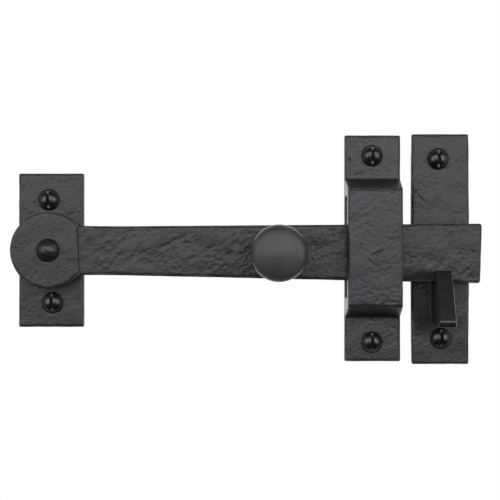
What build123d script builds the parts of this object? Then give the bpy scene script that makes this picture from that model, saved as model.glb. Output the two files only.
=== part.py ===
from build123d import *
import os
from math import acos, atan, atan2, cos, degrees, hypot, radians, sin, tan

# Drop bar gate latch, in millimetres.
# The Y axis is the axis on which the bar pivots. +X runs to the bar's free end and +Z is up.
# The backs of the three plates lie in the plane Y = 0, against the gate and its post, so
# every front faces -Y. A depth is a distance in front of that plane.

# Plates as cast
plate_thickness = 3.5
plate_corner_radius = 0.6
plate_edge_round = 0.5

# Pivot plate, centred on the pivot axis. A plate's screws are given by how far each one stands to the
# right of the plate's middle and how far it is set in from its own end.
pivot_plate_width = 28.9
pivot_plate_height = 68.5
pivot_plate_upper_screw = (-1.0, 11.8)
pivot_plate_lower_screw = (0.65, 10.95)

# Latch bar: a round eye on the pivot and a flat bar that widens to its free end
bar_reach = 190.4
bar_thickness = 5.9
bar_root_height = 21.7
bar_end_height = 26.35
bar_taper_start = 31.0
bar_end_slant = 0.3
bar_end_corner_radius = 1.2
bar_edge_round = 0.7
bar_droop = 0.43
eye_radius = 16.8
eye_step = 1.3
eye_edge_round = 0.35
shoulder_distance = 13.2
shoulder_lean = 3.0

# Pivot rivet and the washer that holds the bar off the plates
rivet_shank_radius = 3.0
rivet_head_radius = 5.15
rivet_head_height = 3.6
rivet_tail_radius = 4.6
rivet_running_clearance = 0.05
pivot_axial_play = 0.05
washer_thickness = 0.75
washer_radius = 8.0

# Mushroom knob, turned, and the countersunk screw that holds it from behind the bar
knob_distance = 101.05
knob_below_centreline = 0.55
knob_radius = 12.3
knob_height = 21.0
knob_crown_radius = 9.6
knob_crown_slope = 25.0
knob_rim_round = 1.6
knob_underside_slope = 20.0
knob_neck_radius = 4.9
knob_foot_spread = 1.3
knob_screw_radius = 2.5
knob_screw_head_radius = 4.8
knob_screw_grip = 12.0
knob_screw_clearance = 0.05
knob_screw_slot_width = 1.2
knob_screw_slot_depth = 1.1

# Guide: one casting, a strap with two tabs and a raised loop that the bar runs through
guide_distance = 143.2
guide_width = 25.05
guide_draft = 2.0
guide_play_in_front = 1.45
guide_lift_room = 12.3
guide_room_below = 7.4
bridge_thickness = 4.3
upper_riser_foot = 7.9
lower_riser_foot = 8.7
riser_lean = 5.0
riser_corner_radius = 1.5
riser_crease_radius = 0.5
slot_corner_radius = 1.8
upper_tab_length = 19.75
lower_tab_length = 20.0
guide_upper_screw = (-0.2, 9.3)
guide_lower_screw = (-0.35, 8.8)

# Strike plate with the ramped hook that the bar drops behind
strike_distance = 173.4
strike_width = 25.3
strike_side_bow = 0.35
strike_height = 102.7
strike_centre_height = 0.5
strike_upper_screw = (-1.0, 11.2)
strike_lower_screw = (0.15, 11.65)
hook_width = 7.5
hook_seat_gap = 0.1
hook_play_in_front = 0.5
hook_catch = 5.5
hook_tip_thickness = 0.9
hook_nose_reach = 23.1
hook_nose_drop = 16.2
hook_nose_face = 2.7
hook_root_drop = 17.3
hook_nose_lean = 0.35
hook_wall_lean = 0.35
hook_corner_round = 0.45
hook_edge_round = 0.35
hook_foot_round = 0.8

# Slotted round-head wood screws
screw_head_radius = 4.85
screw_head_height = 3.4
screw_slot_width = 1.25
screw_slot_depth = 1.9
screw_length = 25.4
screw_shank_radius = 2.4
screw_shank_length = 8.5
screw_thread_radius = 2.1
screw_point_length = 6.0
screw_hole_clearance = 0.2

# Depths closer than this are one depth
same_depth = 0.001

# Depths and heights that follow
bar_back = plate_thickness + washer_thickness + pivot_axial_play
bar_front = bar_back + bar_thickness
eye_front = bar_front + eye_step
bar_taper_angle = atan((bar_end_height - bar_root_height) / 2 / (bar_reach - bar_taper_start))


def front_plane(depth, x=0, z=0):
    """The plane at a depth, seen as the latch is seen: local x is +X, local y is +Z from x, z."""
    return Plane(origin=(x, -depth, z), x_dir=(1, 0, 0), z_dir=(0, -1, 0))


def back_plane(depth, x=0, z=0):
    """The same plane seen from behind, for holes that start at the back."""
    return Plane(origin=(x, -depth, z), x_dir=(1, 0, 0), z_dir=(0, 1, 0))


def side_plane(x):
    """The upright plane across the bar at x: local x is the depth, local y is +Z."""
    return Plane(origin=(x, 0, 0), x_dir=(0, -1, 0), z_dir=(-1, 0, 0))


def turning_plane(x, z):
    """A half-section of what is turned about an axis at x, z: local x is the radius, local y the depth."""
    return Plane(origin=(x, 0, z), x_dir=(1, 0, 0), z_dir=(0, 0, -1))


def turning_axis(x, z):
    return Axis((x, 0, z), (0, -1, 0))


def bar_plane(depth):
    """The front plane at a depth, turned by the bar's droop: local x runs along the bar."""
    droop = radians(bar_droop)
    return Plane(origin=(0, -depth, 0), x_dir=(cos(droop), 0, -sin(droop)), z_dir=(0, -1, 0))


def bar_point(along, above):
    """Where a point of the bar, given along and above its centreline, lies in X and Z."""
    droop = radians(bar_droop)
    return (along * cos(droop) + above * sin(droop), above * cos(droop) - along * sin(droop))


def bar_edge_height(x, side):
    """Height of the resting bar's upper edge (side 1) or lower edge (side -1) at x."""
    start_x, start_z = bar_point(bar_taper_start, side * bar_root_height / 2)
    return start_z + (x - start_x) * tan(side * bar_taper_angle - radians(bar_droop))


# The slot, the loop round it and the tabs are set out from the bar that runs through
slot_top = bar_edge_height(guide_distance, 1) + guide_lift_room
slot_bottom = bar_edge_height(guide_distance, -1) - guide_room_below
slot_front = bar_front + guide_play_in_front
guide_front = slot_front + bridge_thickness
upper_crease = slot_top + upper_riser_foot
lower_crease = slot_bottom - lower_riser_foot
guide_top = upper_crease + upper_tab_length
guide_bottom = lower_crease - lower_tab_length

# The hook is set out from the lower edge of the bar that it holds
hook_floor = bar_edge_height(strike_distance + hook_width / 2, -1) - hook_seat_gap
hook_wall = bar_front + hook_play_in_front

# The bar can be lifted until its upper edge meets the far end of the slot's top
edge_offset = (bar_root_height / 2) * cos(bar_taper_angle) - bar_taper_start * sin(bar_taper_angle)
guide_far_side = guide_distance + guide_width / 2
stop_angle = acos(edge_offset / hypot(slot_top, guide_far_side)) - atan2(guide_far_side, slot_top)
lift_to_stop = degrees(stop_angle - bar_taper_angle) + bar_droop


def screw_places(middle, top, upper, bottom, lower):
    """Where a plate's two screws stand in X and Z."""
    return ((middle + upper[0], top - upper[1]), (middle + lower[0], bottom + lower[1]))


pivot_plate_screw_places = screw_places(
    0, pivot_plate_height / 2, pivot_plate_upper_screw, -pivot_plate_height / 2, pivot_plate_lower_screw
)
guide_screw_places = screw_places(
    guide_distance, guide_top, guide_upper_screw, guide_bottom, guide_lower_screw
)
strike_screw_places = screw_places(
    strike_distance,
    strike_centre_height + strike_height / 2,
    strike_upper_screw,
    strike_centre_height - strike_height / 2,
    strike_lower_screw,
)


def screw_holes(places):
    """Clearance holes through a plate for its screws."""
    with Locations(*[front_plane(plate_thickness, x, z) for x, z in places]):
        Hole(screw_shank_radius + screw_hole_clearance, plate_thickness)


def edges_in_front_of(edges, depth):
    """Those of the edges that lie wholly at a depth or in front of it."""
    return edges.filter_by(lambda edge: edge.bounding_box().max.Y < same_depth - depth)


def edges_at(edges, depth):
    """Those of the edges that lie wholly at a depth."""
    no_deeper = edges_in_front_of(edges, depth)
    return no_deeper.filter_by(lambda edge: edge.bounding_box().min.Y > -same_depth - depth)


# Pivot plate, with a countersink behind for the rivet's tail
with BuildPart() as pivot_plate:
    with BuildSketch(front_plane(0)):
        RectangleRounded(pivot_plate_width, pivot_plate_height, plate_corner_radius)
    extrude(amount=plate_thickness)
    fillet(edges_at(pivot_plate.edges(), plate_thickness), plate_edge_round)
    screw_holes(pivot_plate_screw_places)
    with Locations(back_plane(0)):
        CounterSinkHole(
            rivet_shank_radius + rivet_running_clearance,
            rivet_tail_radius + rivet_running_clearance,
            plate_thickness,
            counter_sink_angle=90,
        )

# Washer between the pivot plate and the bar's eye
with BuildPart() as pivot_washer:
    with BuildSketch(front_plane(plate_thickness)):
        Circle(washer_radius)
        Circle(rivet_shank_radius + rivet_running_clearance, mode=Mode.SUBTRACT)
    extrude(amount=washer_thickness)

# Latch bar: the eye is a thicker disc whose face ends at a shoulder across the bar
with BuildPart() as latch_bar:
    with BuildSketch(bar_plane(bar_back)):
        with BuildLine():
            Polyline(
                (0, bar_root_height / 2),
                (bar_taper_start, bar_root_height / 2),
                (bar_reach + bar_end_slant, bar_end_height / 2),
                (bar_reach - bar_end_slant, -bar_end_height / 2),
                (bar_taper_start, -bar_root_height / 2),
                (0, -bar_root_height / 2),
                close=True,
            )
        make_face()
        fillet(vertices().sort_by(Axis.X)[-2:], bar_end_corner_radius)
        Circle(eye_radius)
    extrude(amount=bar_thickness)
    fillet(edges_at(latch_bar.edges(), bar_front), bar_edge_round)
    with BuildSketch(bar_plane(bar_back)):
        Circle(eye_radius)
        with Locations(Location((shoulder_distance, 0), shoulder_lean)):
            Rectangle(eye_radius, 3 * eye_radius, align=(Align.MIN, Align.CENTER), mode=Mode.SUBTRACT)
    extrude(amount=bar_thickness + eye_step)
    fillet(edges_at(latch_bar.edges(), eye_front), eye_edge_round)
    with Locations(bar_plane(eye_front)):
        Hole(rivet_shank_radius + rivet_running_clearance)
    knob_x, knob_z = bar_point(knob_distance, -knob_below_centreline)
    with Locations(back_plane(bar_back, knob_x, knob_z)):
        CounterSinkHole(
            knob_screw_radius + knob_screw_clearance,
            knob_screw_head_radius + knob_screw_clearance,
            bar_thickness,
            counter_sink_angle=90,
        )

# Pivot rivet: a domed head on the eye, and a tail set into the plate's countersink
with BuildPart() as pivot_rivet:
    head_seat = eye_front + pivot_axial_play
    tail_depth = rivet_tail_radius - rivet_shank_radius
    with BuildSketch(turning_plane(0, 0)):
        with BuildLine():
            Polyline(
                (0, head_seat + rivet_head_height),
                (0, 0),
                (rivet_tail_radius, 0),
                (rivet_shank_radius, tail_depth),
                (rivet_shank_radius, head_seat),
                (rivet_head_radius, head_seat),
            )
            dome = (rivet_head_radius**2 + rivet_head_height**2) / (2 * rivet_head_height)
            RadiusArc((rivet_head_radius, head_seat), (0, head_seat + rivet_head_height), -dome)
        make_face()
    revolve(axis=turning_axis(0, 0))

# Mushroom knob: a low crown rolls over a rounded rim into the flared underside, down to a
# straight neck and a spread foot. Each arc starts in the direction in which the last one ends.
with BuildPart() as knob:
    with BuildSketch(turning_plane(knob_x, knob_z)):
        with BuildLine():
            crown_lean = sin(radians(knob_crown_slope))
            under_lean = 1 - sin(radians(knob_underside_slope))
            shoulder_round = (knob_radius - knob_crown_radius) / (1 - crown_lean)
            flare_round = (knob_radius - knob_rim_round * under_lean - knob_neck_radius) / under_lean
            top = (0, bar_front + knob_height)
            crown = JernArc(top, (1, 0), knob_crown_radius / crown_lean, -knob_crown_slope)
            shoulder = JernArc(crown @ 1, crown % 1, shoulder_round, knob_crown_slope - 90)
            rim = JernArc(shoulder @ 1, shoulder % 1, knob_rim_round, knob_underside_slope - 90)
            flare = JernArc(rim @ 1, rim % 1, flare_round, 90 - knob_underside_slope)
            Polyline(
                flare @ 1,
                (knob_neck_radius, bar_front + knob_foot_spread),
                (knob_neck_radius + knob_foot_spread, bar_front),
                (0, bar_front),
                top,
            )
        make_face()
    revolve(axis=turning_axis(knob_x, knob_z))
    with Locations(back_plane(bar_front, knob_x, knob_z)):
        Hole(knob_screw_radius + knob_screw_clearance, knob_screw_grip)

# Countersunk screw through the bar into the knob
with BuildPart() as knob_screw:
    head_depth = knob_screw_head_radius - knob_screw_radius
    with BuildSketch(turning_plane(knob_x, knob_z)):
        Polygon(
            (0, bar_back),
            (knob_screw_head_radius, bar_back),
            (knob_screw_radius, bar_back + head_depth),
            (knob_screw_radius, bar_front + knob_screw_grip),
            (0, bar_front + knob_screw_grip),
            align=None,
        )
    revolve(axis=turning_axis(knob_x, knob_z))
    with BuildSketch(front_plane(bar_back, knob_x, knob_z)):
        Rectangle(3 * knob_screw_head_radius, knob_screw_slot_width)
    extrude(amount=knob_screw_slot_depth, mode=Mode.SUBTRACT)

# Guide: the side profile of strap, tabs, risers and bridge, cut to the drafted front outline
with BuildPart() as guide:
    with BuildSketch(side_plane(guide_distance)):
        Polygon(
            (0, guide_bottom),
            (plate_thickness, guide_bottom),
            (plate_thickness, lower_crease),
            (guide_front, lower_crease + riser_lean),
            (guide_front, upper_crease - riser_lean),
            (plate_thickness, upper_crease),
            (plate_thickness, guide_top),
            (0, guide_top),
            align=None,
        )
        fillet(vertices().group_by(Axis.X)[-1], riser_corner_radius)
        fillet(vertices().group_by(Axis.X)[1].sort_by(Axis.Y)[1:3], riser_crease_radius)
    extrude(amount=guide_width, both=True)
    with BuildSketch(front_plane(0, guide_distance, (guide_top + guide_bottom) / 2)):
        RectangleRounded(guide_width, guide_top - guide_bottom, plate_corner_radius)
    extrude(amount=guide_front, taper=guide_draft, mode=Mode.INTERSECT)
    in_front = edges_in_front_of(guide.edges(), plate_thickness)
    across = in_front.filter_by(Axis.X)
    tab_ends = across.sort_by(Axis.Z)[0:1] + across.sort_by(Axis.Z)[-1:]
    fillet(in_front - across + tab_ends, plate_edge_round)
    with BuildSketch(side_plane(guide_distance)):
        with Locations(((plate_thickness + slot_front) / 2, (slot_top + slot_bottom) / 2)):
            RectangleRounded(slot_front - plate_thickness, slot_top - slot_bottom, slot_corner_radius)
    extrude(amount=guide_width, both=True, mode=Mode.SUBTRACT)
    screw_holes(guide_screw_places)

# Strike plate, its long sides slightly bowed, with the ramped hook standing on it
with BuildPart() as strike_plate:
    with BuildSketch(front_plane(0, strike_distance, strike_centre_height)):
        with BuildLine():
            end_x = strike_width / 2
            end_z = strike_height / 2
            Line((-end_x, -end_z), (end_x, -end_z))
            ThreePointArc((end_x, -end_z), (end_x + strike_side_bow, 0), (end_x, end_z))
            Line((end_x, end_z), (-end_x, end_z))
            ThreePointArc((-end_x, end_z), (-end_x - strike_side_bow, 0), (-end_x, -end_z))
        make_face()
        fillet(vertices(), plate_corner_radius)
    extrude(amount=plate_thickness)
    fillet(edges_at(strike_plate.edges(), plate_thickness), plate_edge_round)
    with BuildSketch(side_plane(strike_distance)):
        nose_top = hook_floor - hook_nose_drop
        Polygon(
            (plate_thickness / 2, hook_floor - hook_root_drop),
            (plate_thickness / 2, hook_floor),
            (hook_wall, hook_floor),
            (hook_wall + hook_wall_lean, hook_floor + hook_catch),
            (hook_wall + hook_wall_lean + hook_tip_thickness, hook_floor + hook_catch),
            (hook_nose_reach, nose_top),
            (hook_nose_reach - hook_nose_lean, nose_top - hook_nose_face),
            (plate_thickness, hook_floor - hook_root_drop),
            align=None,
        )
        hook_corners = vertices().filter_by(lambda corner: corner.X > plate_thickness + same_depth)
        fillet(hook_corners, hook_corner_round)
    extrude(amount=hook_width / 2, both=True)
    hook_sides = strike_plate.faces().filter_by(Axis.X).sort_by(Axis.Y)[:2]
    rim_edges = ShapeList(edge for side in hook_sides for edge in side.edges())
    fillet(rim_edges - edges_at(rim_edges, plate_thickness), hook_edge_round)
    plate_front = strike_plate.faces().filter_by(Axis.Y).sort_by(SortBy.AREA)[-2:].sort_by(Axis.Y)[0]
    fillet(plate_front.inner_wires()[0].edges(), hook_foot_round)
    screw_holes(strike_screw_places)


# Slotted round-head wood screws, six alike: one is made on the pivot axis and copied to its places
with BuildPart() as wood_screw:
    tip = plate_thickness - screw_length
    head_top = plate_thickness + screw_head_height
    with BuildSketch(turning_plane(0, 0)):
        with BuildLine():
            Polyline(
                (0, head_top),
                (0, tip),
                (screw_thread_radius, tip + screw_point_length),
                (screw_thread_radius, plate_thickness - screw_shank_length),
                (screw_shank_radius, plate_thickness - screw_shank_length),
                (screw_shank_radius, plate_thickness),
                (screw_head_radius, plate_thickness),
            )
            dome = (screw_head_radius**2 + screw_head_height**2) / (2 * screw_head_height)
            RadiusArc((screw_head_radius, plate_thickness), (0, head_top), -dome)
        make_face()
    revolve(axis=turning_axis(0, 0))
    with BuildSketch(front_plane(head_top)):
        Rectangle(screw_slot_width, 3 * screw_head_radius)
    extrude(amount=-screw_slot_depth, mode=Mode.SUBTRACT)

with BuildPart() as wood_screws:
    all_places = pivot_plate_screw_places + guide_screw_places + strike_screw_places
    with Locations(*[(x, 0, z) for x, z in all_places]):
        add(wood_screw.part)

pieces = {
    "pivot_plate": pivot_plate,
    "pivot_washer": pivot_washer,
    "pivot_rivet": pivot_rivet,
    "latch_bar": latch_bar,
    "knob": knob,
    "knob_screw": knob_screw,
    "guide": guide,
    "strike_plate": strike_plate,
    "wood_screws": wood_screws,
}
os.makedirs("parts", exist_ok=True)
for name, piece in pieces.items():
    piece.part.label = name
    export_step(piece.part, f"parts/{name}.step")

print(f"The bar rests with its lower edge {hook_seat_gap} above the hook's floor at Z {hook_floor:.2f}.")
print(f"It lifts {lift_to_stop:.2f} degrees until it meets the slot's top at Z {slot_top:.2f}.")
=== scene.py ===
# %% [markdown]
# A drop bar gate latch in satin black iron. The plates, the guide and the bar are castings with a
# hammered face, the knob is turned smooth, and the screws and the rivet are glossier. The CAD model
# already has every piece at its real size. This script leaves all places alone and gives each piece
# the surface that the foundry and the paint gave the real one.

# %% Load the frame
from math import asin, cos, pi, radians, sin, tau

import bmesh
import bpy
import numpy as np
from mathutils import Matrix, Vector, noise
from mathutils.kdtree import KDTree


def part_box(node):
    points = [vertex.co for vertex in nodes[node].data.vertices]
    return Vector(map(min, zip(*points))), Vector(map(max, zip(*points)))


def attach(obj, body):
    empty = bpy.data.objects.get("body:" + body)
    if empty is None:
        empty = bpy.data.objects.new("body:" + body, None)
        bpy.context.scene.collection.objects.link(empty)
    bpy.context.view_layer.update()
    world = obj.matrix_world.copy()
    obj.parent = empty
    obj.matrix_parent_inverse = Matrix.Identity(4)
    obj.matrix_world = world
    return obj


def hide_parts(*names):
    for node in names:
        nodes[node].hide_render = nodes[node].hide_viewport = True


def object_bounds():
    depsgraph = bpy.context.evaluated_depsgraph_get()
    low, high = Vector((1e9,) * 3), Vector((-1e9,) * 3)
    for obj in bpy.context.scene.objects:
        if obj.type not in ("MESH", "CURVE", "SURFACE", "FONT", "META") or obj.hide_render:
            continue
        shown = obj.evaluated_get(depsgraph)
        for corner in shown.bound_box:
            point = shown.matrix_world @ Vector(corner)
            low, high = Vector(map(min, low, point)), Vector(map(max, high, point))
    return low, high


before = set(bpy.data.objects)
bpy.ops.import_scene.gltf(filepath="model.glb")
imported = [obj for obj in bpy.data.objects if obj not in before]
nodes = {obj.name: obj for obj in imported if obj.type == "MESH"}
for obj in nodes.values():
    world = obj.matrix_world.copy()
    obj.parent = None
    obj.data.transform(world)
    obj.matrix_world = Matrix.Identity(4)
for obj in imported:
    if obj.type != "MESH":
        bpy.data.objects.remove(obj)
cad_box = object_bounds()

MM = 0.001


def middle_of(node):
    """The X and Z of a node's middle, in millimetres."""
    low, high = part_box(node)
    return ((low.x + high.x) / 2 / MM, (low.z + high.z) / 2 / MM)


# %% [markdown]
# Shader maths reads best as sums. A Wire is the output of one node. Plus, minus and times between
# wires add the Math nodes that work them out, and numbers may stand on either side. Every other node
# comes from one method: its type, its settings, which are set first, and what goes into its sockets.

# %% A socket that takes operators
class Wire:
    def __init__(self, tree, socket=None):
        self.tree = tree
        self.socket = socket

    def node(self, kind, settings=None, inputs=None, output=0):
        """Any node, from its type, its settings and the values or wires of its sockets."""
        made = self.tree.nodes.new(kind)
        for name, value in (settings or {}).items():
            setattr(made, name, value)
        for name, value in (inputs or {}).items():
            if isinstance(value, Wire):
                self.tree.links.new(value.socket, made.inputs[name])
            else:
                made.inputs[name].default_value = value
        return Wire(self.tree, made.outputs[output] if made.outputs else None)

    def math(self, operation, *values):
        return self.node("ShaderNodeMath", {"operation": operation}, dict(enumerate(values)))

    def __add__(self, other):
        return self.math("ADD", self, other)

    def __sub__(self, other):
        return self.math("SUBTRACT", self, other)

    def __rsub__(self, other):
        return self.math("SUBTRACT", other, self)

    def __mul__(self, other):
        return self.math("MULTIPLY", self, other)

    __radd__ = __add__
    __rmul__ = __mul__

    def rise(self, low, high, start=0.0, end=1.0):
        """Start below low, end above high, and an even ramp between."""
        inputs = {"Value": self, "From Min": low, "From Max": high, "To Min": start, "To Max": end}
        return self.node("ShaderNodeMapRange", {"clamp": True}, inputs)

    def colour(self, low, high):
        """The colour low where this wire is 0, high where it is 1."""
        return self.node("ShaderNodeMix", {"data_type": "RGBA"}, {0: self, 6: low, 7: high}, output=2)


def grey(level, red=0.0, green=0.0, blue=0.0):
    """A near-black: one level of linear light with a little more of some colours."""
    return (level * (1 + red), level * (1 + green), level * (1 + blue), 1.0)


# %% [markdown]
# The camera stands half a metre in front of the plates' backs, which shows a little of each side and
# lets the raised guide look larger than the plates. It looks straight along +Y, and its lens is found
# from how wide the latch is in the picture: the frame holds 222.6 mm at the depth of the plate fronts.

# %% Camera
camera_distance = 0.5
picture_width = 0.22264
picture_depth = 0.0035
picture_middle = (0.0886, 0.0001)
sensor = 36.0

camera_data = bpy.data.cameras.new("camera")
camera_data.sensor_width = sensor
camera_data.lens = sensor * (camera_distance - picture_depth) / picture_width
camera_data.clip_start = 0.01
camera = bpy.data.objects.new("camera", camera_data)
camera.location = (picture_middle[0], -camera_distance, picture_middle[1])
camera.rotation_euler = (radians(90), 0, 0)
bpy.context.scene.collection.objects.link(camera)
bpy.context.scene.camera = camera
bpy.context.scene.view_settings.view_transform = "Standard"
print("lens", round(camera_data.lens, 2), "mm")

# %% [markdown]
# Black paint shows its surroundings more than its own colour, so the room matters as much as the
# lamps. What looks into the empty room, mirrored or not, sees plain white, by the Light Path node. For
# the paint's own colour the room is dim, so that the white adds no light of its own.

# %% The room
room_level = 0.3

world = bpy.data.worlds.new("studio")
bpy.context.scene.world = world
world.use_nodes = True
world.node_tree.nodes.clear()
sheet = Wire(world.node_tree)
seen = sheet.node("ShaderNodeLightPath", output="Is Camera Ray")
mirrored = sheet.node("ShaderNodeLightPath", output="Is Glossy Ray")
through = sheet.node("ShaderNodeLightPath", output="Is Transmission Ray")
strength = sheet.math("MAXIMUM", seen + mirrored + through, room_level)
light = sheet.node("ShaderNodeBackground", inputs={"Color": (1, 1, 1, 1), "Strength": strength})
sheet.node("ShaderNodeOutputWorld", inputs={"Surface": light})

# %% [markdown]
# The lamps are a wide softbox over the camera and a tall one at each side. The flat fronts mirror
# what is level with the camera, which is just where the light begins. A slope that faces up a little
# is therefore bright and one that faces down is dark, and a shallow dent shows. A lamp's power is
# worked out from the brightness that its face should have, whatever its size.

# %% Lamps
def softbox(name, azimuth, elevation, distance, width, height, brightness):
    """A lamp seen from the latch's middle at an azimuth to the right and an elevation, in degrees."""
    lamp = bpy.data.lights.new(name, "AREA")
    lamp.shape = "RECTANGLE"
    lamp.size = width
    lamp.size_y = height
    lamp.energy = brightness * pi * width * height
    holder = bpy.data.objects.new(name, lamp)
    side, up = radians(azimuth), radians(elevation)
    aim = Vector((sin(side) * cos(up), -cos(side) * cos(up), sin(up)))
    holder.location = Vector((picture_middle[0], 0, picture_middle[1])) + aim * distance
    holder.rotation_euler = aim.to_track_quat("Z", "Y").to_euler()
    holder.visible_camera = False
    bpy.context.scene.collection.objects.link(holder)
    print(name, "power", round(lamp.energy, 2), "W")


softbox("left_softbox", -50, 10, 1.0, 0.45, 0.75, 2.2)
softbox("right_softbox", 50, 10, 1.0, 0.45, 0.75, 2.4)
softbox("front_softbox", 0, 20, 1.1, 1.30, 0.70, 1.95)

# %% [markdown]
# A pale board lies behind the latch, as the gate would. Sides that are seen edge-on mirror it: the
# guide's risers turn pale far from it, and the edges close to it stay dark, because each piece shades
# the board beside itself. The board is one-sided and the camera doesn't see it, so the screws and the
# backs of the plates are in plain view from behind. Its plane runs just inside the plates' backs.

# %% Board
board_depth = 0.0004
board_half = (0.22, 0.16)


def flat_sheet(name, corners, material):
    """One quad that belongs to the studio and not to the latch."""
    mesh = bpy.data.meshes.new(name)
    mesh.from_pydata(corners, [], [(0, 1, 2, 3)])
    mesh.materials.append(material)
    sheet_object = bpy.data.objects.new(name, mesh)
    bpy.context.scene.collection.objects.link(sheet_object)
    return sheet_object


def new_material(name):
    """An empty material and its sheet."""
    material = bpy.data.materials.new(name)
    material.use_nodes = True
    material.node_tree.nodes.clear()
    return material, Wire(material.node_tree)


board_paint, sheet = new_material("pale_board")
matt = sheet.node("ShaderNodeBsdfDiffuse", inputs={"Color": (0.8, 0.8, 0.8, 1)})
clear = sheet.node("ShaderNodeBsdfTransparent")
behind = sheet.node("ShaderNodeNewGeometry", output="Backfacing")
white = sheet.node("ShaderNodeEmission", inputs={"Color": (1, 1, 1, 1), "Strength": 1.0})
mirrored = sheet.node("ShaderNodeLightPath", output="Is Glossy Ray")
front = sheet.node("ShaderNodeMixShader", inputs={0: mirrored, 1: matt, 2: white})
one_sided = sheet.node("ShaderNodeMixShader", inputs={0: behind, 1: front, 2: clear})
sheet.node("ShaderNodeOutputMaterial", inputs={"Surface": one_sided})
square = [(-1, -1), (1, -1), (1, 1), (-1, 1)]
corners = [(picture_middle[0] + x * board_half[0], -board_depth, z * board_half[1]) for x, z in square]
flat_sheet("board", corners, board_paint).visible_camera = False

# %% [markdown]
# Black flags take the white away from where the real latch mirrors none: overhead, at both sides,
# underneath, and in front below the camera, where the flag's upper edge is where the light begins.
# Rounded edges turn towards the flags, which draws a dark line round each piece. The camera doesn't
# see them.

# %% Flags
flag_side, flag_top, flag_low = 0.85, 0.42, -0.26
past_latch, over_camera, behind_camera = 0.35, -0.50, -0.75
light_begins = -0.105
side_flag_near, side_flag_half = -0.22, 0.5
flag_black, sheet = new_material("black_flag")
cloth = sheet.node("ShaderNodeBsdfDiffuse", inputs={"Color": (0.02, 0.02, 0.02, 1)})
sheet.node("ShaderNodeOutputMaterial", inputs={"Surface": cloth})


def flag(name, low, high):
    """A black card between two corners of a box that is flat one way."""
    (x0, y0, z0), (x1, y1, z1) = low, high
    corners = [(x0, y0, z0), (x1, y0, z0), (x1, y1, z1), (x0, y1, z1)]
    if x0 == x1:
        corners = [(x0, y0, z0), (x0, y1, z0), (x0, y1, z1), (x0, y0, z1)]
    shifted = [(x + picture_middle[0], y, z) for x, y, z in corners]
    flat_sheet(name, shifted, flag_black).visible_camera = False


flag("flag_above", (-flag_side, over_camera, flag_top), (flag_side, past_latch, flag_top))
flag("flag_under", (-flag_side, behind_camera, flag_low), (flag_side, past_latch, flag_low))
flag("flag_front", (-flag_side, behind_camera, flag_low), (flag_side, behind_camera, light_begins))
for name, side in (("flag_left", -flag_side), ("flag_right", flag_side)):
    flag(name, (side, side_flag_near, -side_flag_half), (side, past_latch, side_flag_half))

# %% [markdown]
# The latch hangs on nothing here, as a catalogue shows it. A pale floor lies well below it: it takes
# the lamps' light as any floor does and is plain white to the camera.

# %% Floor
floor_drop = 0.25
floor_half = 0.45

floor_paint, sheet = new_material("pale_floor")
matt = sheet.node("ShaderNodeBsdfDiffuse", inputs={"Color": (0.8, 0.8, 0.8, 1)})
white = sheet.node("ShaderNodeEmission", inputs={"Color": (1, 1, 1, 1), "Strength": 1.0})
seen = sheet.node("ShaderNodeLightPath", output="Is Camera Ray")
mirrored = sheet.node("ShaderNodeLightPath", output="Is Glossy Ray")
through = sheet.node("ShaderNodeLightPath", output="Is Transmission Ray")
both = sheet.node("ShaderNodeMixShader", inputs={0: seen + mirrored + through, 1: matt, 2: white})
sheet.node("ShaderNodeOutputMaterial", inputs={"Surface": both})
floor_z = cad_box[0][2] - floor_drop
corners = [(picture_middle[0] + x * floor_half, y * floor_half, floor_z) for x, y in square]
flat_sheet("floor", corners, floor_paint)

# %% [markdown]
# The castings' black has three scales. A drift of colour 15 to 30 mm wide comes from the paint lying
# thicker here and thinner there. Streaks a few millimetres long run up to the right, where the pattern
# was scraped and hammered. Fine mottling comes from the sand of the mould. Image textures could show
# all this, but noise needs no unwrapping and no file. It hangs on the Object coordinate, which stays
# with the piece when the bar is lifted.

# %% Patterns in the paint
streak_tilt = radians(38)
streak_stretch = 2.0
drift_size, tint_size, streak_size, sand_size = 24, 17, 2.6, 0.9
elsewhere = (0.3, 0.1, 0.2)


def mottle(sheet, place, size_mm, detail=3.0, roughness=0.5):
    """Soft noise whose patches are about so many millimetres wide."""
    inputs = {"Vector": place, "Scale": 1 / (size_mm * MM), "Detail": detail, "Roughness": roughness}
    return sheet.node("ShaderNodeTexNoise", {"noise_dimensions": "3D"}, inputs)


def streaked(sheet, place, stretch):
    """The place turned so that the streaks lie along X, and squeezed along them."""
    mapping, point = "ShaderNodeMapping", {"vector_type": "POINT"}
    turned = sheet.node(mapping, point, {"Vector": place, "Rotation": (0, streak_tilt, 0)})
    return sheet.node(mapping, point, {"Vector": turned, "Scale": (1 / stretch, 1, 1)})


def distance_from(sheet, place, x, z, half_width=1.0, half_height=1.0):
    """How far a point is from x, z in the front plane: in mm, or in an oval's half width and height."""
    kind = "ShaderNodeVectorMath"
    away = sheet.node(kind, {"operation": "SUBTRACT"}, {0: place, 1: (x * MM, 0, z * MM)})
    shape = (1 / (half_width * MM), 0, 1 / (half_height * MM))
    away = sheet.node(kind, {"operation": "MULTIPLY"}, {0: away, 1: shape})
    return sheet.node(kind, {"operation": "LENGTH"}, {0: away}, "Value")


# %% [markdown]
# Two things differ by place. The hook's ramp was ground after casting and is smoother and darker, and
# a thin bright line is painted along the right edge of its front: a painted highlight. In a few ovals
# the paint shines less or more than elsewhere, and its colour is painted a darker olive black: painted
# shade on the guide's risers, in their creases and beside the hook, which are also dull. The guide's
# left side, which the hammer never reached, is smooth enough to mirror the room, and darker too.

# %% Ground and shaded places
plate_front = -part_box("pivot_plate")[0].y / MM
hook_out = 1.0
hook_fade = 0.8
ground_roughness, ground_smoothing = 0.26, 0.8
highlight_edge_x = 177.3
oval_outside, oval_inside = 1.3, 0.7


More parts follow.
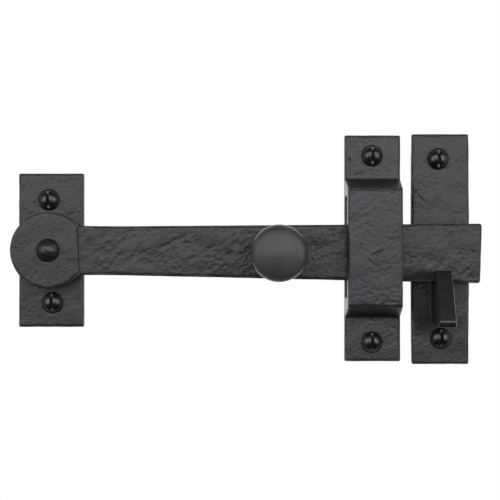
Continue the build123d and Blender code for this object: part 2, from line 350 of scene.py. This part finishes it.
def ground_hook(sheet, place, sand, base, gloss, height):
    """What grinding made of the hook, from a little in front of its plate, and its painted highlight line:
    mask, base, gloss, height.
    """
    depth = sheet.node("ShaderNodeSeparateXYZ", inputs={0: place}, output="Y") * -1000
    ground = depth.rise(plate_front + hook_out, plate_front + hook_out + hook_fade)
    gloss = (gloss * (1 - ground)) + (ground * ground_roughness)
    height = height * (1 - (ground * ground_smoothing))
    base = ground.colour(base, grey(0.010, 0.0, 0.03, -0.15))
    across = sheet.node("ShaderNodeSeparateXYZ", inputs={0: place}, output="X") * 1000
    # A thin bright line along the right edge of the hook's front: a painted highlight.
    begins = across.rise(highlight_edge_x - 0.6, highlight_edge_x - 0.4)
    ends = across.rise(highlight_edge_x - 0.3, highlight_edge_x - 0.15)
    painted_highlight = begins * (1 - ends) * ground * sand.rise(0.35, 0.5)
    return ground, painted_highlight.colour(base, grey(0.16)), gloss, height


def shaded(sheet, place, oval, base, gloss, ground=None):
    """Base and gloss with one oval of painted shade in them: x, z, half width and half height in mm, and
    roughness.
    """
    x, z, half_width, half_height, roughness = oval
    away = distance_from(sheet, place, x, z, half_width, half_height)
    inside = away.rise(oval_outside, oval_inside)
    if ground:
        inside = inside * (1 - ground)
    gloss = (gloss * (1 - inside)) + (inside * roughness)
    # Inside the oval the colour turns a darker olive black: painted shade.
    return inside.colour(base, grey(0.006, 0.0, 0.04, -0.1)), gloss


# %% [markdown]
# The finish itself. The relief wider than a millimetre or two is real geometry, added below, and the
# bump holds what is finer. The four castings share one recipe, with small changes for each.

# %% Black cast iron
def black_iron(name, warmth=0.0, level=1.0, ground=False, ovals=()):
    """Hammered black, a little browner with warmth and paler with level, which is painted light."""
    material, sheet = new_material(name)
    place = sheet.node("ShaderNodeTexCoord", output="Object")
    drift = mottle(sheet, place, drift_size, 2.0).rise(0.38, 0.62)
    aside = sheet.node("ShaderNodeVectorMath", {"operation": "ADD"}, {0: place, 1: elsewhere})
    tint = mottle(sheet, aside, tint_size, 2.0).rise(0.40 - warmth, 0.60 - warmth)
    streaks = mottle(sheet, streaked(sheet, place, streak_stretch), streak_size, 5.0, 0.65)
    sand = mottle(sheet, place, sand_size, 3.0, 0.7)
    violet = grey(0.0130 * level, 0.06, -0.08, 0.46)
    green = grey(0.0115 * level, -0.16, 0.16, 0.08)
    brown = grey(0.0130 * level, 0.44, 0.04, -0.02)
    base = tint.colour(drift.colour(violet, green), drift.colour(brown, violet))
    base = (streaks.rise(0.40, 0.72) * 0.7).colour(base, grey(0.021 * level, 0.02, 0.0, 0.14))
    gloss = streaks.rise(0.3, 0.7, 0.38, 0.50) + (sand * 0.08)
    height = (streaks * 0.5) + (sand * 0.5)
    mask = None
    if ground:
        mask, base, gloss, height = ground_hook(sheet, place, sand, base, gloss, height)
    for oval in ovals:
        base, gloss = shaded(sheet, place, oval, base, gloss, mask)
    relief = sheet.node("ShaderNodeBump", inputs={"Strength": 0.9, "Distance": 0.0008, "Height": height})
    inputs = {
        "Base Color": base, "Roughness": gloss, "Normal": relief, "IOR": 1.5,
        "Coat Weight": 0.2, "Coat Roughness": 0.18,
    }
    paint = sheet.node("ShaderNodeBsdfPrincipled", inputs=inputs)
    sheet.node("ShaderNodeOutputMaterial", inputs={"Surface": paint})
    return material


# Ovals where the roughness changes and the colour is painted darker: painted shade on the risers, in the
# creases and beside the hook; the guide's left side gets the darker colour too.
upper_riser, lower_riser = (143, 29.3, 40, 2.7, 0.45), (143, -27.1, 40, 3.3, 0.45)
upper_crease, lower_crease = (143, 31.2, 60, 0.35, 0.85), (143, -29.5, 60, 0.45, 0.85)
smooth_left_side = (130.8, 0, 0.9, 80, 0.16)
guide_ovals = (upper_riser, lower_riser, upper_crease, lower_crease, smooth_left_side)
bar_beside_hook = (161, -13.0, 11, 5, 0.85)
plate_beside_hook = (165.5, -24, 6, 13, 0.85)

iron = black_iron("black_iron")
# The guide's iron is painted paler than the rest: painted light that brightens the whole guide.
guide_iron = black_iron("black_guide_iron", level=1.6, ovals=guide_ovals)
bar_iron = black_iron("black_bar_iron", ovals=[bar_beside_hook])
strike_iron = black_iron("black_strike_iron", warmth=0.12, ground=True, ovals=[plate_beside_hook])
print("material", iron.name, "with", len(iron.node_tree.nodes), "nodes")

# %% [markdown]
# The knob and the domes were turned and painted smooth. The knob keeps a fine grain that spreads its
# highlights, and fingers have buffed its rim, which mirrors the white room in thin arcs. The screws,
# the rivet and the washer have a thinner, glossier black. The middle of a screw's slot floor is dull
# and painted darker still: painted shade.

# %% Smooth blacks
knob_radius = (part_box("knob")[1].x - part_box("knob")[0].x) / 2 / MM


def smooth_black(name, base_level, roughness, grain_mm, grain_depth, coat, buffed=None):
    """A turned piece's finish. From a radius outwards, where one is given, it was buffed by fingers."""
    material, sheet = new_material(name)
    place = sheet.node("ShaderNodeTexCoord", output="Object")
    grain = mottle(sheet, place, grain_mm, 4.0, 0.6)
    wear = mottle(sheet, place, grain_mm * 8, 2.0).rise(0.35, 0.65)
    base = wear.colour(grey(base_level, -0.02, 0.04, 0.04), grey(base_level * 1.3, 0.02, 0.0, 0.02))
    gloss = (grain * 0.12) + roughness
    if buffed:
        (x, z), radius, buffed_roughness = buffed
        edge = distance_from(sheet, place, x, z).rise(radius, radius + 0.2)
        gloss = (gloss * (1 - edge)) + (edge * buffed_roughness)
    bump = {"Strength": 0.6, "Distance": grain_depth, "Height": grain}
    inputs = {
        "Base Color": base, "Roughness": gloss, "Normal": sheet.node("ShaderNodeBump", inputs=bump),
        "IOR": 1.5, "Coat Weight": coat, "Coat Roughness": 0.10,
    }
    paint = sheet.node("ShaderNodeBsdfPrincipled", inputs=inputs)
    sheet.node("ShaderNodeOutputMaterial", inputs={"Surface": paint})
    return material


buffed_rim = (middle_of("knob"), knob_radius - 0.45, 0.12)
knob_black = smooth_black("knob_black", 0.034, 0.45, 0.9, 0.00032, 0.12, buffed_rim)
fastener_black = smooth_black("fastener_black", 0.006, 0.24, 1.3, 0.00010, 0.2)
# Painted shade for the middle of a slot's floor: darker and dull.
slot_shade_black = smooth_black("slot_shade_black", 0.004, 0.85, 1.3, 0.00010, 0.0)
rivet_black = smooth_black("rivet_black", 0.007, 0.30, 1.1, 0.0006, 0.2)
print("buffed from", round(buffed_rim[1], 2), "mm outwards")

# %% [markdown]
# A CAD solid is a few large flat faces, which can't hold a dent. Each casting is copied and remeshed
# into an even skin of small quads, about half a millimetre wide, fine enough for any mark that the
# camera can see. The remesh also takes the last sharpness off the edges, as casting and paint do.

# %% An even skin over a casting
skin_size = 0.45 * MM
skin_smoothing, skin_softness = 1, 0.5


def copy_of(node, name):
    """A copy of a CAD node's mesh, its faces sewn together, as an object of its own."""
    mesh = nodes[node].data.copy()
    mesh.name = name
    work = bmesh.new()
    work.from_mesh(mesh)
    bmesh.ops.remove_doubles(work, verts=work.verts, dist=1e-6)
    work.to_mesh(mesh)
    work.free()
    mesh.materials.clear()
    piece = bpy.data.objects.new(name, mesh)
    bpy.context.scene.collection.objects.link(piece)
    return piece


def apply_modifiers(piece):
    """The piece's mesh as its modifiers leave it, with no modifier left."""
    graph = bpy.context.evaluated_depsgraph_get()
    mesh = bpy.data.meshes.new_from_object(piece.evaluated_get(graph))
    piece.modifiers.clear()
    piece.data = mesh


def even_skin(node, name):
    """A copy of a CAD node in small even quads, a little softened."""
    piece = copy_of(node, name)
    remesh = piece.modifiers.new("skin", "REMESH")
    remesh.mode = "VOXEL"
    remesh.voxel_size = skin_size
    remesh.use_smooth_shade = True
    soften = piece.modifiers.new("soften", "SMOOTH")
    soften.factor = skin_softness
    soften.iterations = skin_smoothing
    apply_modifiers(piece)
    return piece


# %% [markdown]
# The hammer's work is a depth at each point of the skin, always inwards, so that the piece never
# outgrows its solid. Broad hollows come first, then streaks that run up to the right, then pebbling,
# and the last two come and go over the piece, because nobody hammers evenly. The deepest marks of the
# real latch are listed, each with its place, size and depth. A displacement modifier could do
# the noise, but not such a list.

# %% The hammer's marks
def oriented(x, z, tilt):
    """A place turned by a tilt in the front plane: how far along and how far across."""
    return x * cos(tilt) + z * sin(tilt), z * cos(tilt) - x * sin(tilt)


def bumps(point, size, shift):
    """Soft noise from about -1 to 1, whose bumps are so many millimetres long each way."""
    spot = [value / length + offset for value, length, offset in zip(point, size, shift)]
    return noise.noise(Vector(spot))


def hammering(point, seed, hollows, streaks, pebbles):
    """Depth of the general relief at a point, all in millimetres."""
    x, y, z = point
    along, across = oriented(x, z, streak_tilt)
    turned = (along, y, across)
    broad = bumps(point, (11, 11, 8), (0, seed, 0))
    lump = bumps(turned, (4.2, 4, 3.0), (0, -seed, 0))
    streak = bumps(turned, (4.4, 4, 1.9), (0, seed, 0))
    fine = bumps(point, (1.5, 1.5, 1.3), (0, seed, 0))
    streaky = 0.75 + 1.2 * bumps(point, (17, 19, 13), (seed, 0, 0))
    pebbly = 0.8 + 1.3 * bumps(point, (9, 11, 7), (-seed, 0, 0))
    uneven = 1.0 + 0.8 * lump + 0.6 * streak
    return hollows * (0.5 + broad) + streaks * streaky * uneven + pebbles * pebbly * (0.5 + fine)


def strike_mark(point, mark):
    """Depth of one listed mark at a point: a smooth oval hollow."""
    x, z, length, width, tilt, depth = mark
    along, across = oriented(point[0] - x, point[2] - z, radians(tilt))
    away = (along / length) ** 2 + (across / width) ** 2
    return depth * (1 - away) ** 2 if away < 1 else 0.0


# %% [markdown]
# The rims between the fronts and the sides are rolled by the hammer and the paint, a little more here
# than there, and this is what draws the dark outlines. A bevel would roll them evenly, and the skin
# has no edge left to bevel. So each point near a rim finds its nearest point on the other side of it,
# works out how far it lies from both faces, and is pulled onto the round.

# %% Rolled rims
plate_rim, eye_rim, step_rim = 1.3, 0.8, 0.3
rim_search, rim_unevenness, rim_waver = 1.6, 0.5, 5
front_facing, step_back = 0.7, 0.05


def tree_of(places, chosen):
    """A search tree over the chosen points."""
    tree = KDTree(len(chosen))
    for index in chosen:
        tree.insert(places[index], int(index))
    tree.balance()
    return tree


def round_rims(places, normals, rim_of, until):
    """Rolls the rims between fronts and sides, unevenly, up to a depth in front of the backs."""
    within = -places[:, 1] < until
    fronts = np.nonzero((normals[:, 1] < -front_facing) & within)[0]
    sides = np.nonzero((np.abs(normals[:, 1]) < front_facing) & within)[0]
    moved = places.copy()
    for own, other in ((fronts, tree_of(places, sides)), (sides, tree_of(places, fronts))):
        for index in own:
            spot, near, away = other.find(places[index])
            rim = rim_of(places[index])
            front, side = (index, near) if own is fronts else (near, index)
            if away > rim_search * rim or places[side][1] - places[front][1] < -step_back:
                continue
            outward = Vector((normals[side][0], 0, normals[side][2])).normalized()
            gap = Vector(places[side] - places[front])
            below, inside = (0.0, gap.dot(outward)) if own is fronts else (gap.y, 0.0)
            x, y, z = places[index]
            reach = rim * (1 + rim_unevenness * noise.noise(Vector((x / rim_waver, y, z / rim_waver))))
            u, v = below - reach, inside - reach
            length = (u * u + v * v) ** 0.5
            if u < 0 and v < 0 and length > reach:
                pull = 1 - reach / length
                moved[index] += np.array((outward.x * v * pull, -u * pull, outward.z * v * pull))
    return moved


# %% [markdown]
# One function makes a casting: the skin, the rolled rims, the relief, the finish, and what the piece
# rides on and stands for. The sides get an eighth of the relief, because the hammer worked on the
# fronts and the outline is true.

# %% A hammered casting
side_share = 0.12
side_until, blend_over = 0.25, 0.6
whole_depth = 99


def even_rim(place):
    """The same rim everywhere."""
    return plate_rim


def dress(piece, material, node, body):
    """Gives a piece its finish, hides the CAD solid that it stands for, and parents it to what it moves
    with.
    """
    piece.data.materials.clear()
    piece.data.materials.append(material)
    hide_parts(node)
    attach(piece, body)


def hammered(
    node, body, name, seed, hollows, streaks, pebbles, marks, calm,
    paint=iron, rim_of=even_rim, until=whole_depth,
):
    """The dressed casting. Calm scales the relief by place, and the rims are rolled until a depth."""
    piece = even_skin(node, name)
    mesh = piece.data
    count = len(mesh.vertices)
    places = np.empty(count * 3, np.float32)
    mesh.vertices.foreach_get("co", places)
    normals = np.empty(count * 3, np.float32)
    mesh.vertex_normals.foreach_get("vector", normals)
    places = places.reshape(-1, 3)
    normals = normals.reshape(-1, 3)
    places = round_rims(places / MM, normals, rim_of, until) * MM
    facing = np.clip((-normals[:, 1] - side_until) / blend_over, 0.0, 1.0)
    share = side_share + (1 - side_share) * facing
    depths = np.empty(count, np.float32)
    for index, place in enumerate(places / MM):
        depth = hammering(place, seed, hollows, streaks, pebbles) * share[index] * calm(place)
        if facing[index] > 0:
            depth += sum(strike_mark(place, mark) for mark in marks)
        depths[index] = max(depth, 0.0)
    places -= normals * depths[:, None] * MM
    mesh.vertices.foreach_set("co", places.ravel())
    mesh.update()
    dress(piece, paint, node, body)
    print(name, count, "points, deepest mark", round(float(depths.max()), 2), "mm")


# %% [markdown]
# The four castings. The pivot plate is the calmest. The bar is the roughest, between its eye and the
# knob, and its lower front edge is beaten back where it drops behind the hook. The back of each plate
# lies on the gate, so the relief fades out there. The hook was ground, so its rims stay sharp and it
# has almost no relief.

# %% How the relief and the rims vary
back_fade = 1.5
hook_share = 0.12
along_bar, bar_share = (15, 22, 45, 60, 95, 115), (0.6, 1.3, 1.3, 1.35, 1.35, 1.1)
eye_end, step_begins, step_half = 20, 11, 10.5


def flat_back(place):
    """No relief at the backs of the plates, all of it a little in front of them."""
    return min(max(-place[1] / back_fade, 0.0), 1.0)


def smooth_ramp(place):
    """As flat_back, with a smooth hook."""
    calm = flat_back(place)
    if -place[1] > plate_front + hook_out:
        calm *= hook_share
    return calm


def lively_middle(place):
    """The bar is calm at its eye, roughest where it nears its knob, and calmer again past it."""
    return float(np.interp(place[0], along_bar, bar_share))


def bar_rim(place):
    """The eye was turned and kept its rim crisp, and the step where it ends is crisper still."""
    if place[0] > eye_end:
        return plate_rim
    return step_rim if place[0] > step_begins and abs(place[2]) < step_half else eye_rim


# %% [markdown]
# The deepest marks were found in the photo, one at a time: gouges along the bar and beside the
# knob, the bar's edge beaten back beside the hook, a pit in the guide's upper tab, three chatter marks
# on its bridge. Noise would put them anywhere. Each is a smooth oval, given by a row of numbers.

# %% The deepest marks: x, z, length, width, tilt in degrees and depth
bar_marks = (
    (51.2, 1.9, 5.5, 1.5, 25, 0.34),
    (43.7, -6.0, 3.5, 1.6, 15, 0.36),
    (82.0, 2.6, 3.2, 2.0, 50, 0.42),
    (79.8, -1.6, 3.0, 1.4, 20, 0.38),
    (63.5, -3.6, 4.5, 1.6, 30, 0.28),
    (71.5, 0.9, 3.5, 1.5, 30, 0.26),
    (77.4, -7.0, 2.0, 1.0, 20, 0.30),
    (58.0, 5.2, 6.0, 2.0, 28, 0.24),
    (120.0, 0.0, 6.5, 9.0, 80, 0.30),
    (165.5, -13.6, 12.0, 4.8, 8, 1.15),
    (186.3, -1.0, 1.8, 0.9, 80, 0.50),
    (183.5, -9.6, 3.0, 1.6, 60, 0.34),
    (186.0, -12.0, 5.0, 2.0, 10, 0.40),
)
guide_marks = (
    (132.9, 40.0, 1.6, 1.0, -40, 0.70),
    (137.5, 33.8, 4.5, 0.9, 12, 0.30),
    (142.6, -31.4, 2.4, 0.8, -10, 0.30),
    (152.2, -34.6, 2.0, 0.7, -25, 0.32),
    (142.2, -2.2, 1.9, 0.7, 52, 0.60),
    (143.9, -1.6, 1.9, 0.7, 52, 0.65),
    (145.6, -0.9, 1.8, 0.7, 52, 0.60),
    (140.5, -5.0, 2.2, 0.8, -30, 0.28),
    (139.0, -16.4, 1.7, 0.7, 40, 0.34),
    (140.6, -18.7, 1.9, 0.7, -30, 0.36),
    (142.2, -17.0, 1.6, 0.7, 50, 0.32),
    (137.0, 25.2, 3.5, 1.2, 5, 0.18),
    (150.0, 24.8, 4.0, 1.4, -8, 0.20),
    (139.0, -23.6, 5.0, 1.3, -6, 0.30),
    (149.0, -22.8, 5.0, 1.5, 8, 0.28),
)
plate_marks = ((-7.5, 20.9, 0.9, 0.8, 0, 0.40), (8.6, 15.6, 2.6, 0.9, 35, 0.24))
strike_marks = ((162.0, 26.1, 1.5, 1.0, 20, 0.70), (164.9, 22.8, 4.0, 0.9, -45, 0.36))

# %% [markdown]
# Each casting has its own seed, so that no two repeat a pattern, and its own share of hollows, streaks
# and pebbles.

# %% Castings
hammered(
    "pivot_plate", "mounting", "pivot_plate_skin", seed=3.1, hollows=0.18, streaks=0.06, pebbles=0.08,
    marks=plate_marks, calm=flat_back,
)
hammered(
    "latch_bar", "bar", "latch_bar_skin", seed=7.7, hollows=0.22, streaks=0.13, pebbles=0.14,
    marks=bar_marks, calm=lively_middle, paint=bar_iron, rim_of=bar_rim,
)
hammered(
    "guide", "mounting", "guide_skin", seed=12.9, hollows=0.20, streaks=0.09, pebbles=0.13,
    marks=guide_marks, calm=flat_back, paint=guide_iron,
)
hammered(
    "strike_plate", "mounting", "strike_plate_skin", seed=21.3, hollows=0.20, streaks=0.065, pebbles=0.085,
    marks=strike_marks, calm=smooth_ramp, paint=strike_iron, until=plate_front + hook_out,
)

# %% [markdown]
# What was turned on a lathe is made as on a lathe. A pen walks along half the outline, straight on or
# round a bend, and notes radius and depth. The outline is then spun round its axis. The knob's bends
# follow one another without a corner, which its highlights would show at once.

# %% A pen and a lathe
crease_angle = radians(35)
knob_segments, dome_segments, shank_segments = 128, 96, 48


class Pen:
    """Walks an outline of radius and depth in millimetres, heading at an angle from straight out."""

    def __init__(self, radius, depth, heading=0.0):
        self.points = [(radius, depth)]
        self.heading = radians(heading)

    def line_to(self, radius, depth):
        self.points.append((radius, depth))

    def bend(self, bend_radius, turn, steps):
        """An arc of so many degrees, to the left where they are above 0."""
        side = 1 if turn > 0 else -1
        step = radians(turn) / steps
        for _ in range(steps):
            radius, depth = self.points[-1]
            length = 2 * bend_radius * sin(abs(step) / 2)
            middle = self.heading + side * abs(step) / 2
            self.points.append((radius + length * cos(middle), depth + length * sin(middle)))
            self.heading += step


def spin(name, outline, segments, axis=(0.0, 0.0), wobble=None):
    """A closed mesh from an outline that starts and ends on its axis, at an X and Z in millimetres."""
    ring_points = outline[1:-1]
    angles = [tau * i / segments for i in range(segments)]
    spots = []
    for radius, depth in ring_points:
        for angle in angles:
            wide = wobble(radius, depth, angle) if wobble else radius
            spots.append((axis[0] + wide * sin(angle), -depth, axis[1] + wide * cos(angle)))
    faces = []
    for ring in range(len(ring_points) - 1):
        here, there = ring * segments, (ring + 1) * segments
        for i in range(segments):
            j = (i + 1) % segments
            faces.append((here + i, here + j, there + j, there + i))
    for end, ring in ((outline[0], 0), (outline[-1], len(ring_points) - 1)):
        pole = len(spots)
        spots.append((axis[0], -end[1], axis[1]))
        for i in range(segments):
            j = (i + 1) % segments
            a, b = ring * segments + i, ring * segments + j
            faces.append((pole, b, a) if ring == 0 else (pole, a, b))
    mesh = bpy.data.meshes.new(name)
    mesh.from_pydata([(x * MM, y * MM, z * MM) for x, y, z in spots], [], faces)
    work = bmesh.new()
    work.from_mesh(mesh)
    bmesh.ops.recalc_face_normals(work, faces=work.faces)
    work.to_mesh(mesh)
    work.free()
    piece = bpy.data.objects.new(name, mesh)
    bpy.context.scene.collection.objects.link(piece)
    return piece


def smooth(piece):
    """Smooth shading, apart from edges sharper than the crease angle."""
    piece.data.polygons.foreach_set("use_smooth", [True] * len(piece.data.polygons))
    piece.data.set_sharp_from_angle(angle=crease_angle)


# %% [markdown]
# The knob. A low crown rolls over a shoulder and a rounded rim into the flared underside, down to a
# straight neck and a spread foot on the bar.

# %% Knob
eye_front = -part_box("latch_bar")[0].y / MM
eye_step = 1.3
bar_front = eye_front - eye_step
knob_top = -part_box("knob")[0].y / MM
crown_radius, crown_slope = 9.6, 22.0
rim_round, underside_slope = 1.6, 20.0
neck_radius, foot_spread = 4.9, 1.3

crown_lean = sin(radians(crown_slope))
shoulder_round = (knob_radius - crown_radius) / (1 - crown_lean)
under_lean = 1 - sin(radians(underside_slope))
flare_round = (knob_radius - rim_round * under_lean - neck_radius) / under_lean

pen = Pen(0.0, knob_top)
pen.bend(crown_radius / crown_lean, -crown_slope, 16)
pen.bend(shoulder_round, crown_slope - 90, 14)
pen.bend(rim_round, underside_slope - 90, 8)
pen.bend(flare_round, 90 - underside_slope, 16)
pen.line_to(neck_radius, bar_front + foot_spread)
pen.line_to(neck_radius + foot_spread, bar_front)
pen.line_to(0.0, bar_front)
knob = spin("turned_knob", pen.points, knob_segments, middle_of("knob"))
smooth(knob)
dress(knob, knob_black, "knob", "bar")
print("knob", len(knob.data.polygons), "faces")

# %% [markdown]
# The rivet. Its head was hammered to a dome, which left it uneven, and its tail was spread into the
# plate's countersink, flush with the back. The outline is spun and the dome's points are then pushed
# in by noise, never outwards.

# %% Rivet
rivet_front = -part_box("pivot_rivet")[0].y / MM
rivet_head, rivet_shank, rivet_tail = 5.15, 3.0, 4.6
rivet_play = 0.05
peening, peen_size, seat_margin = 0.16, 1.9, 0.1
rivet_seat = eye_front + rivet_play


def dome_outline(radius, height, seat, steps):
    """From the top of a dome down to its seat, as radius and depth."""
    ball = (radius**2 + height**2) / (2 * height)
    reach = asin(radius / ball)
    arc = [reach * i / steps for i in range(steps + 1)]
    return [(ball * sin(a), seat + height - ball * (1 - cos(a))) for a in arc]


rivet_outline = dome_outline(rivet_head, rivet_front - rivet_seat, rivet_seat, 20)
rivet_outline += [
    (rivet_shank, rivet_seat), (rivet_shank, rivet_tail - rivet_shank), (rivet_tail, 0.0), (0.0, 0.0),
]
rivet = spin("turned_rivet", rivet_outline, dome_segments, middle_of("pivot_rivet"))
for point in rivet.data.vertices:
    if -point.co.y > rivet_seat * MM + seat_margin * MM:
        point.co.y += peening * MM * (0.5 + noise.noise(point.co / (peen_size * MM)))
smooth(rivet)
dress(rivet, rivet_black, "pivot_rivet", "mounting")
print("rivet", len(rivet.data.polygons), "faces")

# %% [markdown]
# The washer behind the eye and the countersunk screw in the back of the bar have their true shape in
# CAD. They are copied with their faces sewn together.

# %% Washer and knob screw
for node, body in (("pivot_washer", "mounting"), ("knob_screw", "bar")):
    piece = copy_of(node, node + "_turned")
    smooth(piece)
    dress(piece, fastener_black, node, body)

# %% [markdown]
# The wood screws. CAD gives each one a plain cylinder for its thread. The real No. 10 screw has a
# thread with 13 turns to the inch, cut into the lower part of the shank, which runs out to a sharp
# point. A Screw modifier could wind it, but would leave the run-in and the point to be joined by hand.
# So the shank is spun with a radius that also depends on the angle.

# %% A thread
screw_low, screw_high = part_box("wood_screws")
screw_top, screw_tip = -screw_low.y / MM, screw_high.y / MM
head_radius = 4.85
head_overlap = 0.4
shank_radius, shank_end = 2.4, 5.0
thread_root, thread_pitch, point_length = 1.7, 25.4 / 13, 6.0
slot_width, slot_depth = 1.25, 1.9
slot_shade_reach = 2.4
head_skin = 0.17 * MM
slot_floor_margin = 0.3 * MM
ring_step = 0.13
crest_share, thread_flank = 1.15, 0.34


def thread_radius(depth):
    """The core and the crest of the thread at a depth below the plates' backs."""
    share = min((screw_tip - depth) / point_length, 1.0)
    start = min(max((depth - shank_end) / thread_pitch, 0.0), 1.0)
    core = shank_radius + (thread_root - shank_radius) * start
    return core * share, shank_radius * min(share * crest_share, 1.0)


def wound(radius, depth, angle):
    """The screw's radius where its thread stands at this angle."""
    below = -depth
    if below <= shank_end:
        return radius
    core, crest = thread_radius(below)
    turn = (below / thread_pitch - angle / tau) % 1.0
    rise = max(1 - abs(turn - 0.5) / thread_flank, 0.0)
    return core + max(crest - core, 0.0) * rise


shank_top = plate_front + head_overlap
shank_outline = [(0.0, shank_top), (shank_radius, shank_top), (shank_radius, -shank_end)]
thread_rings = int((screw_tip - shank_end) / ring_step)
shank_outline += [(shank_radius, -shank_end - ring_step * i) for i in range(1, thread_rings)]
shank_outline += [(0.0, -screw_tip)]
shank = spin("screw_shank", shank_outline, shank_segments, wobble=wound)
print("thread of", thread_rings, "rings")

# %% [markdown]
# The screw's head is spun too, slotted by a boolean, and then given an even skin, which rounds the
# slot's rims as paint does. The middle of the slot's floor gets a dull, darker material of its own, by
# its faces: painted shade for the deep middle of the slot, while its ends mirror the lamps.

# %% A slotted head
head_outline = dome_outline(head_radius, screw_top - plate_front, plate_front, 16) + [(0.0, plate_front)]
head = spin("screw_head", head_outline, dome_segments)
cutter_mesh = bpy.data.meshes.new("slot_cutter")
work = bmesh.new()
bmesh.ops.create_cube(work, size=1.0)
bmesh.ops.scale(work, vec=(slot_width * MM, 2 * slot_depth * MM, 4 * head_radius * MM), verts=work.verts)
bmesh.ops.translate(work, vec=(0, -screw_top * MM, 0), verts=work.verts)
work.to_mesh(cutter_mesh)
work.free()
cutter = bpy.data.objects.new("slot_cutter", cutter_mesh)
bpy.context.scene.collection.objects.link(cutter)
slot = head.modifiers.new("slot", "BOOLEAN")
slot.operation = "DIFFERENCE"
slot.solver = "EXACT"
slot.object = cutter
remesh = head.modifiers.new("skin", "REMESH")
remesh.mode = "VOXEL"
remesh.voxel_size = head_skin
remesh.use_smooth_shade = True
soften = head.modifiers.new("soften", "SMOOTH")
soften.iterations = 2
apply_modifiers(head)
bpy.data.objects.remove(cutter)
slot_floor = (screw_top - slot_depth) * MM
# The middle of each slot floor takes the darker material: painted shade.
for face in head.data.polygons:
    x, y, z = face.center
    if abs(-y - slot_floor) < slot_floor_margin and abs(x) < 0.5 * slot_width * MM:
        face.material_index = 1 if abs(z) < slot_shade_reach * MM else 0
print("head", len(head.data.polygons), "faces")

# %% [markdown]
# One screw is made and set in its six places, which are read from the points of the CAD screws. The
# two in the pivot plate are turned a little, as they were driven.

# %% Six screws
tips = [v.co / MM for v in nodes["wood_screws"].data.vertices if v.co.y / MM > screw_tip - 0.01]
screw_places = sorted({(round(tip.x, 2), round(tip.z, 2)) for tip in tips})
print("screws at", screw_places)
pivot_plate_end = 20
pivot_plate_lean, straight = radians(-3), 0.0
work = bmesh.new()
for x, z in screw_places:
    lean = pivot_plate_lean if x < pivot_plate_end else straight
    for part in (head, shank):
        before = len(work.verts)
        work.from_mesh(part.data)
        work.verts.ensure_lookup_table()
        fresh = work.verts[before:]
        bmesh.ops.rotate(work, verts=fresh, cent=(0, 0, 0), matrix=Matrix.Rotation(lean, 3, "Y"))
        bmesh.ops.translate(work, verts=fresh, vec=(x * MM, 0, z * MM))
screws_mesh = bpy.data.meshes.new("threaded_screws")
work.to_mesh(screws_mesh)
work.free()
for part in (head, shank):
    bpy.data.objects.remove(part)
slot_shade_indices = [face.material_index for face in screws_mesh.polygons]
screws = bpy.data.objects.new("threaded_screws", screws_mesh)
bpy.context.scene.collection.objects.link(screws)
smooth(screws)
dress(screws, fastener_black, "wood_screws", "mounting")
screws.data.materials.append(slot_shade_black)
screws.data.polygons.foreach_set("material_index", slot_shade_indices)
print("screws", len(screws_mesh.polygons), "faces")
